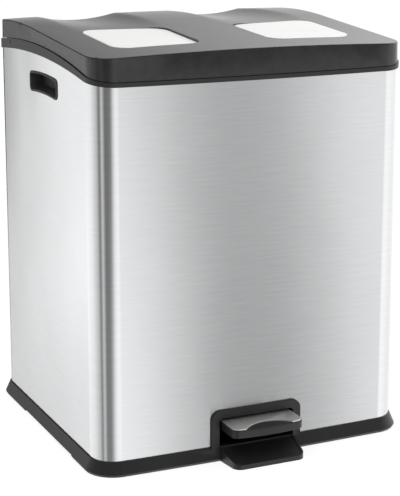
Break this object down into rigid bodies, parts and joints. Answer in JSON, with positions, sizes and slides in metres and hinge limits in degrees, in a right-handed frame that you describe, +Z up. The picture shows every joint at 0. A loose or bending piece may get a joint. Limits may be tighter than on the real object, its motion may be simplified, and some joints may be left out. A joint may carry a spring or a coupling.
{
  "type": "double recycling bin",
  "caption": "Brushed steel pedal bin for sorted waste, with a black base and collar, a dark hinged lid with white inset panels, and lift-out buckets inside.",
  "frame": {"origin": "on the floor, under the middle of the bin's bounding box", "axes": "+X to the right seen from the front, +Y towards the back, +Z up; the pedal is at the front, towards -Y"},
  "size_m": [0.5088, 0.495, 0.6171],
  "materials": {
    "brushed_stainless": "fine horizontal brushing, satin",
    "black_moulding": "black moulded polypropylene, satin",
    "dark_lid_plastic": "dark grey moulded polypropylene, satin",
    "white_panel_plastic": "white moulded styrene, semi-gloss",
    "satin_tread_steel": "satin stainless plate",
    "zinc_steel": "bright zinc plate on steel",
    "bearing_plastic": "natural acetal, smooth",
    "bucket_plastic": "grey moulded polypropylene, satin",
    "foot_rubber": "black rubber"
  },
  "bodies": {
    "cabinet": {"base_tray": "black_moulding", "feet": "foot_rubber", "body_front": "brushed_stainless", "body_side_right": "brushed_stainless", "body_side_left": "brushed_stainless", "body_upper_right": "brushed_stainless", "body_upper_left": "brushed_stainless", "body_back": "brushed_stainless", "top_collar": "black_moulding", "handle_cup_right": "black_moulding", "handle_cup_left": "black_moulding", "hinge_pin_left": "zinc_steel", "hinge_pin_right": "zinc_steel", "bush_upper": "bearing_plastic", "bush_lower": "bearing_plastic", "pedal_axle": "zinc_steel", "axle_bracket_right": "black_moulding", "axle_bracket_left": "black_moulding", "bracket_screws": "zinc_steel", "deck": "black_moulding", "deck_screws": "zinc_steel", "rod_duct": "black_moulding"},
    "lid": {"lid_shell": "dark_lid_plastic", "lid_liner": "black_moulding", "liner_screws": "zinc_steel", "lid_panel_right": "white_panel_plastic", "lid_panel_left": "white_panel_plastic", "lid_crank": "bearing_plastic", "crank_screws": "zinc_steel", "crank_pin": "zinc_steel"},
    "pedal": {"pedal_lever": "zinc_steel", "pedal_pad": "black_moulding", "pedal_plate": "satin_tread_steel", "pedal_rivets": "zinc_steel", "lever_pin": "zinc_steel"},
    "rod": {"push_rod": "zinc_steel", "rod_yoke": "bearing_plastic", "rod_foot": "bearing_plastic"},
    "right_bucket": {"bucket_right": "bucket_plastic"},
    "left_bucket": {"bucket_left": "bucket_plastic"},
    "right_bail": {"bail_right": "zinc_steel", "bail_grip_right": "black_moulding"},
    "left_bail": {"bail_left": "zinc_steel", "bail_grip_left": "black_moulding"}
  },
  "joints": [
    {"name": "lid_hinge", "type": "hinge", "parent": "cabinet", "child": "lid", "pos_m": [0, 0.2361, 0.58094], "axis": [-1, 0, 0], "range_deg": [0, 78]},
    {"name": "pedal_hinge", "type": "hinge", "parent": "cabinet", "child": "pedal", "pos_m": [0, 0.0031, 0.05], "axis": [1, 0, 0], "range_deg": [0, 6.4]},
    {"name": "rod_slide", "type": "slide", "parent": "cabinet", "child": "rod", "axis": [0, 0, 1], "range_m": [0, 0.024]},
    {"name": "bucket_right_lift", "type": "slide", "parent": "cabinet", "child": "right_bucket", "axis": [0, 0, 1], "range_m": [0, 0.012]},
    {"name": "bucket_left_lift", "type": "slide", "parent": "cabinet", "child": "left_bucket", "axis": [0, 0, 1], "range_m": [0, 0.012]},
    {"name": "bail_right_swing", "type": "hinge", "parent": "right_bucket", "child": "right_bail", "pos_m": [0.115, 0.0131, 0.5657], "axis": [1, 0, 0], "range_deg": [0, 4]},
    {"name": "bail_left_swing", "type": "hinge", "parent": "left_bucket", "child": "left_bail", "pos_m": [-0.115, 0.0131, 0.5657], "axis": [1, 0, 0], "range_deg": [0, 4]}
  ],
  "couplings": [
    {"joint": "pedal_hinge", "follows": "lid_hinge", "ratio": 0.081282},
    {"joint": "rod_slide", "follows": "lid_hinge", "m_per_rad": 0.017566}
  ]
}
